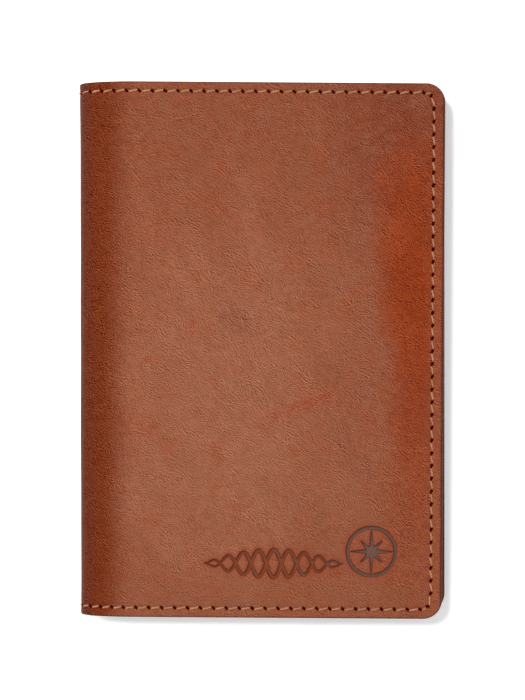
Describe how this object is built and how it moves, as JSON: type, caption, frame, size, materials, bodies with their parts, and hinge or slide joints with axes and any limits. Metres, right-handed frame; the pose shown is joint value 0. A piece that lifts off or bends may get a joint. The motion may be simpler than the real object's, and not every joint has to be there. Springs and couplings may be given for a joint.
{
  "type": "passport holder",
  "caption": "Stitched leather passport holder: a soft-spined cover that folds shut round a passport held in two inner sleeves, with stepped card pockets and a debossed emblem.",
  "frame": {"origin": "under the middle of the closed holder, on the surface that its back panel lies on", "axes": "+X from the spine to the free edge, +Y up along the spine to the top edge, +Z out of the front panel"},
  "size_m": [0.096, 0.14, 0.013],
  "materials": {
    "cover_leather": "tan veg-tanned leather, smooth, satin, with fine grain",
    "lining": "dark brown thin lining leather, matte",
    "sleeve_leather": "tan leather, satin, slightly darker than the outside",
    "pocket_leather": "thin tan leather, satin",
    "seam_thread": "waxed twisted thread, light tan",
    "pocket_thread": "thin waxed thread, light tan",
    "edge_paint": "burnished dark burgundy edge coat, smooth"
  },
  "bodies": {
    "back_cover": {"back_outer_leather": "cover_leather", "back_lining": "lining", "back_sleeve_panel": "sleeve_leather", "back_sleeve_turned_edges": "sleeve_leather", "back_seam_thread": "seam_thread"},
    "spine_back": {"spine_leather_back": "cover_leather", "spine_lining_back": "lining", "spine_thread_back": "seam_thread"},
    "spine_middle": {"spine_leather_middle": "cover_leather", "spine_lining_middle": "lining", "spine_thread_middle": "seam_thread"},
    "spine_front": {"spine_leather_front": "cover_leather", "spine_lining_front": "lining", "spine_thread_front": "seam_thread"},
    "front_cover": {"front_outer_leather": "cover_leather", "front_lining": "lining", "front_sleeve_panel": "sleeve_leather", "front_sleeve_turned_edges": "sleeve_leather", "upper_card_pocket": "pocket_leather", "upper_pocket_turned_edges": "pocket_leather", "lower_card_pocket": "pocket_leather", "lower_pocket_turned_edges": "pocket_leather", "card_pocket_thread": "pocket_thread", "front_seam_thread": "seam_thread"}
  },
  "joints": [
    {"name": "back_fold", "type": "hinge", "parent": "back_cover", "child": "spine_back", "pos_m": [-0.0404, 0, 0], "axis": [0, -1, 0], "range_deg": [0, 30]},
    {"name": "back_edge_fold", "type": "hinge", "parent": "spine_back", "child": "spine_middle", "pos_m": [-0.048, 0, 0.00439], "axis": [0, -1, 0], "range_deg": [0, 60]},
    {"name": "front_edge_fold", "type": "hinge", "parent": "spine_middle", "child": "spine_front", "pos_m": [-0.048, 0, 0.00861], "axis": [0, -1, 0], "range_deg": [0, 60]},
    {"name": "front_fold", "type": "hinge", "parent": "spine_front", "child": "front_cover", "pos_m": [-0.0404, 0, 0.013], "axis": [0, -1, 0], "range_deg": [0, 30]}
  ],
  "couplings": [
    {"joint": "back_edge_fold", "follows": "back_fold", "ratio": 2},
    {"joint": "front_edge_fold", "follows": "back_fold", "ratio": 2},
    {"joint": "front_fold", "follows": "back_fold", "ratio": 1}
  ]
}
